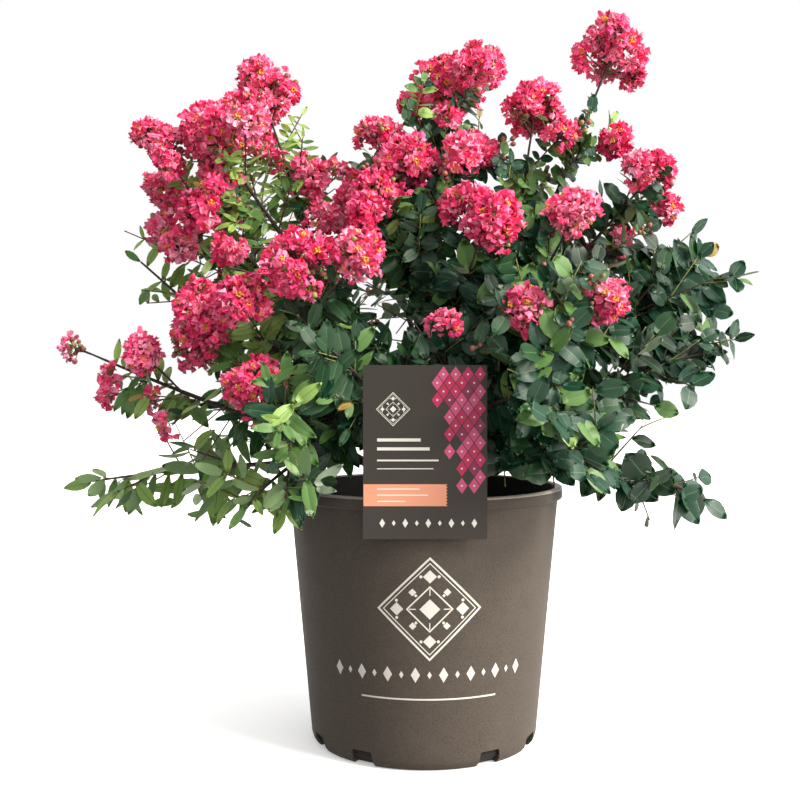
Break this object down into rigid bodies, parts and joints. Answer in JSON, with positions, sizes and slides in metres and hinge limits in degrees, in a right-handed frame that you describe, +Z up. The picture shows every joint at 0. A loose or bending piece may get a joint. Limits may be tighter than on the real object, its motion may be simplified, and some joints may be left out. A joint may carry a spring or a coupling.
{
  "type": "potted crape myrtle shrub",
  "caption": "Dwarf crape myrtle shrub in full raspberry bloom, in a round tapered nursery pot with a hanging plant label.",
  "frame": {"origin": "middle of the pot's flat underside, on the surface that it stands on", "axes": "+Z up the plant, -Y toward the side of the pot that the label hangs on, +X to the right seen from there"},
  "size_m": [0.6622, 0.4686, 0.6459],
  "materials": {
    "pot": "taupe injection-moulded polypropylene, fine satin grain",
    "soil": "moist bark and peat potting mix",
    "label": "printed polypropylene card, satin",
    "bark": "thin dark brown bark, finely fissured",
    "foliage": "semi-gloss dark green leaves",
    "blossom": "crinkled raspberry-pink petals"
  },
  "bodies": {
    "root": {"pot": "pot", "root_ball": "soil", "label": "label", "root_crown": "bark", "stem_back": "bark", "stem_centre": "bark", "stem_front": "bark", "stem_left": "bark", "stem_left_low": "bark", "stem_right": "bark", "stem_upper_left": "bark", "stem_upper_right": "bark", "bough_back_left": "bark", "bough_back_right": "bark", "bough_back_top": "bark", "bough_far_left": "bark", "bough_left_outer": "bark", "bough_left_twig": "bark", "bough_low_left": "bark", "bough_low_right": "bark", "bough_right_dome": "bark", "bough_right_mid": "bark", "bough_right_upper": "bark", "bough_spire": "bark", "bough_top_left": "bark", "bough_top_mid": "bark", "bough_upper_left": "bark", "mass_back_left": "blossom", "mass_back_left_low": "foliage", "mass_back_low": "foliage", "mass_back_right": "blossom", "mass_back_right_low": "foliage", "mass_back_top": "blossom", "mass_centre": "blossom", "mass_centre_left": "blossom", "mass_centre_right": "blossom", "mass_far_left": "blossom", "mass_front_centre": "blossom", "mass_front_low": "foliage", "mass_front_right": "blossom", "mass_inner_left": "foliage", "mass_inner_right": "foliage", "mass_left_front": "foliage", "mass_left_low": "blossom", "mass_left_mid": "blossom", "mass_left_outer": "blossom", "mass_left_skirt": "foliage", "mass_left_twig": "foliage", "mass_low_left": "foliage", "mass_low_right": "foliage", "mass_right_dome": "foliage", "mass_right_mid": "foliage", "mass_right_upper": "blossom", "mass_spire": "blossom", "mass_top_left": "blossom", "mass_top_mid": "blossom", "mass_upper_left": "blossom", "mass_upper_right": "blossom"}
  },
  "joints": []
}
